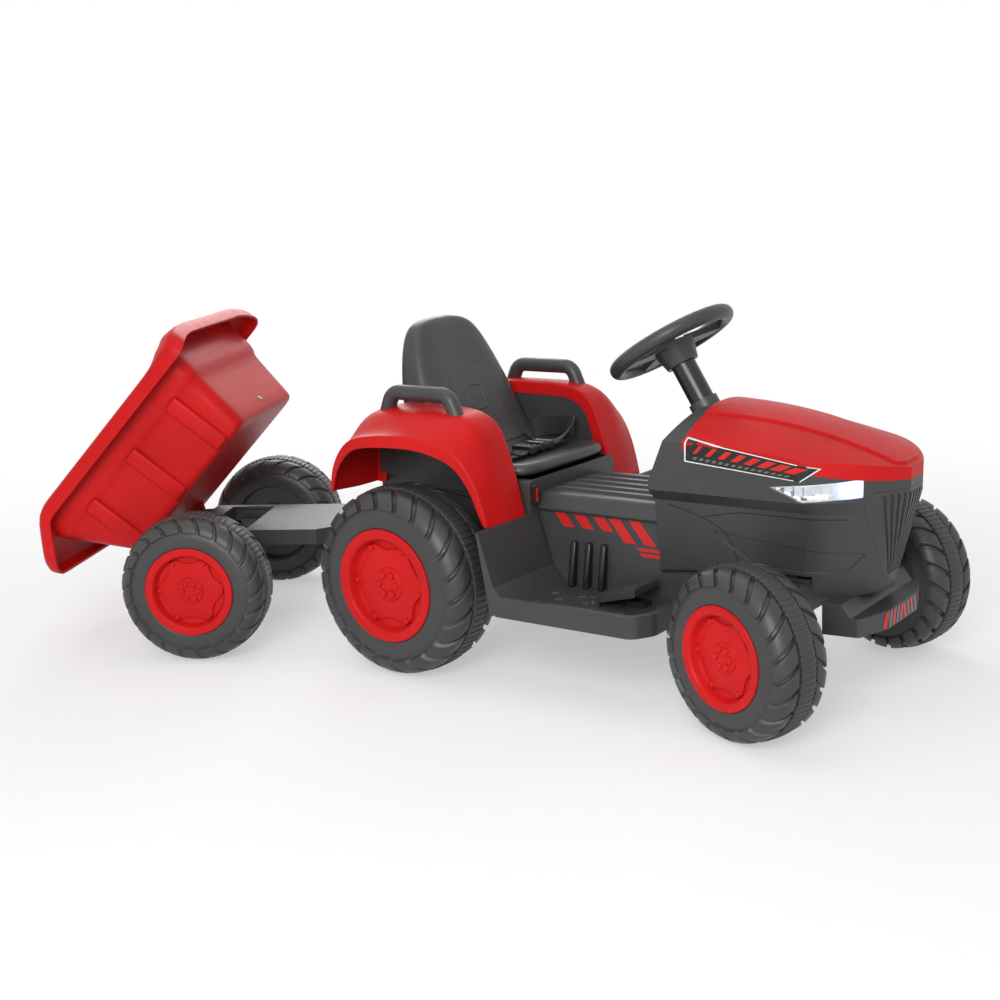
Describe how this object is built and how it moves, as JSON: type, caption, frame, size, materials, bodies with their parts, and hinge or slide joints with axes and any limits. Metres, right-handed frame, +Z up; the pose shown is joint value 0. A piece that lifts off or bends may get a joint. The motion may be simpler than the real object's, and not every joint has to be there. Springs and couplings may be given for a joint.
{
  "type": "ride-on toy tractor with trailer",
  "caption": "Battery ride-on toy tractor with steered front wheels, moulded seat, tipping trailer bed on a drawbar, armrests, lap belt and lit headlamps.",
  "frame": {"origin": "centre of the bounding box on the ground, in the pictured pose", "axes": "+X is the tractor's forward way, +Y its left, +Z up; the trailer stands swung behind it"},
  "size_m": [1.3994, 0.685, 0.5072],
  "materials": {
    "dark_plastic": "satin moulded",
    "red_plastic": "satin gloss",
    "black_plastic": "gloss",
    "tyre_plastic": "matte moulded",
    "steel": "zinc plated",
    "webbing": "woven",
    "lens": "clear",
    "reflector": "metallised",
    "led": "clear",
    "motor_case": "plated",
    "battery_case": "matte"
  },
  "bodies": {
    "tractor": {"rear_axle": "steel", "front_beam": "dark_plastic", "tunnel_cover": "dark_plastic", "nose_shell": "dark_plastic", "grille": "dark_plastic", "hood": "red_plastic", "charge_socket": "black_plastic", "dash_panel": "dark_plastic", "rocker_bezel": "black_plastic", "headlamp_lenses": "lens", "headlamp_reflectors": "reflector", "headlamp_leds": "led", "front_bumper": "dark_plastic", "fender_left": "red_plastic", "fender_right": "red_plastic", "armrest_left": "dark_plastic", "armrest_right": "dark_plastic", "seat": "dark_plastic", "belt_right": "webbing", "belt_left": "webbing", "buckle_socket": "black_plastic", "buckle_plug": "black_plastic", "gearboxes": "black_plastic", "drive_motors": "motor_case", "battery": "battery_case", "pedal_pin": "steel", "pedal_switch": "black_plastic", "body_tub": "dark_plastic", "tow_tongue": "dark_plastic", "hitch_pin": "steel"},
    "steering": {"steering_wheel": "dark_plastic", "steering_wheel_cap": "dark_plastic", "steering_column": "black_plastic", "steering_rod": "steel"},
    "tie_rod": {"tie_rod": "steel"},
    "knuckle_left": {"front_axle_left": "steel"},
    "knuckle_right": {"front_axle_right": "steel"},
    "wheel_front_left": {"front_tyre_left": "tyre_plastic", "front_hub_cap_left": "red_plastic"},
    "wheel_front_right": {"front_tyre_right": "tyre_plastic", "front_hub_cap_right": "red_plastic"},
    "wheel_rear_left": {"rear_tyre_left": "tyre_plastic", "rear_hub_cap_left": "red_plastic", "drive_dog_left": "black_plastic"},
    "wheel_rear_right": {"rear_tyre_right": "tyre_plastic", "rear_hub_cap_right": "red_plastic", "drive_dog_right": "black_plastic"},
    "trailer": {"trailer_frame": "dark_plastic", "trailer_axle": "steel", "bed_pin": "steel"},
    "wheel_trailer_left": {"trailer_tyre_left": "tyre_plastic", "trailer_hub_cap_left": "red_plastic"},
    "wheel_trailer_right": {"trailer_tyre_right": "tyre_plastic", "trailer_hub_cap_right": "red_plastic"},
    "bed": {"tipping_bed": "red_plastic"},
    "pedal": {"pedal": "dark_plastic"},
    "power_button": {"power_button": "black_plastic"},
    "direction_rocker": {"direction_rocker": "black_plastic"},
    "seat_latch": {"seat_latch": "black_plastic"}
  },
  "joints": [
    {"name": "steering_turn", "type": "hinge", "parent": "tractor", "child": "steering", "pos_m": [0.35014, 0.06473, 0.454], "axis": [-0.518, 0, 0.8554], "range_deg": [-8.53, 58.13]},
    {"name": "tie_rod_shift", "type": "slide", "parent": "tractor", "child": "tie_rod", "axis": [0, 1, 0], "range_m": [-0.02226, 0.00328]},
    {"name": "knuckle_left", "type": "hinge", "parent": "tractor", "child": "knuckle_left", "pos_m": [0.57664, 0.24372, 0.11], "axis": [0, 0, 1], "range_deg": [-6.4, 43.6]},
    {"name": "front_wheel_left_spin", "type": "hinge", "parent": "knuckle_left", "child": "wheel_front_left", "pos_m": [0.60056, 0.31481, 0.11], "axis": [0.319, 0.9478, 0], "continuous": true},
    {"name": "rear_wheel_left_spin", "type": "hinge", "parent": "tractor", "child": "wheel_rear_left", "pos_m": [0.03064, 0.32172, 0.135], "axis": [0, 1, 0], "continuous": true},
    {"name": "knuckle_right", "type": "hinge", "parent": "tractor", "child": "knuckle_right", "pos_m": [0.57664, -0.11428, 0.11], "axis": [0, 0, 1], "range_deg": [-6.4, 43.6]},
    {"name": "front_wheel_right_spin", "type": "hinge", "parent": "knuckle_right", "child": "wheel_front_right", "pos_m": [0.55272, -0.18536, 0.11], "axis": [0.319, 0.9478, 0], "continuous": true},
    {"name": "rear_wheel_right_spin", "type": "hinge", "parent": "tractor", "child": "wheel_rear_right", "pos_m": [0.03064, -0.19228, 0.135], "axis": [0, 1, 0], "continuous": true},
    {"name": "hitch_swing", "type": "hinge", "parent": "tractor", "child": "trailer", "pos_m": [-0.15936, 0.06473, 0.142], "axis": [0, 0, 1], "range_deg": [-58.3, 1.7]},
    {"name": "trailer_wheel_left_spin", "type": "hinge", "parent": "trailer", "child": "wheel_trailer_left", "pos_m": [-0.51094, 0.16504, 0.11], "axis": [-0.4741, 0.8805, 0], "continuous": true},
    {"name": "trailer_wheel_right_spin", "type": "hinge", "parent": "trailer", "child": "wheel_trailer_right", "pos_m": [-0.26915, -0.28401, 0.11], "axis": [-0.4741, 0.8805, 0], "continuous": true},
    {"name": "bed_tip", "type": "hinge", "parent": "trailer", "child": "bed", "pos_m": [-0.47105, -0.1031, 0.15], "axis": [-0.4741, 0.8805, 0], "range_deg": [0, 47]},
    {"name": "pedal_press", "type": "hinge", "parent": "tractor", "child": "pedal", "pos_m": [0.32264, -0.10228, 0.1298], "axis": [0, 1, 0], "range_deg": [0, 8], "stiffness_Nm_per_rad": 3, "springref_deg": -5.73},
    {"name": "power_button_press", "type": "slide", "parent": "tractor", "child": "power_button", "axis": [0.9269, 0, -0.3752], "range_m": [0, 0.003], "stiffness_N_per_m": 400, "springref_m": -0.002},
    {"name": "direction_rock", "type": "hinge", "parent": "tractor", "child": "direction_rocker", "pos_m": [0.40288, 0.00893, 0.33069], "axis": [0, 1, 0], "range_deg": [-8, 8]},
    {"name": "seat_latch_turn", "type": "hinge", "parent": "tractor", "child": "seat_latch", "pos_m": [0.18064, -0.03877, 0.247], "axis": [1, 0, 0], "range_deg": [0, 90]}
  ],
  "couplings": [
    {"joint": "tie_rod_shift", "follows": "steering_turn", "m_per_rad": -0.021927},
    {"joint": "knuckle_left", "follows": "steering_turn", "ratio": 0.75},
    {"joint": "knuckle_right", "follows": "steering_turn", "ratio": 0.75}
  ]
}
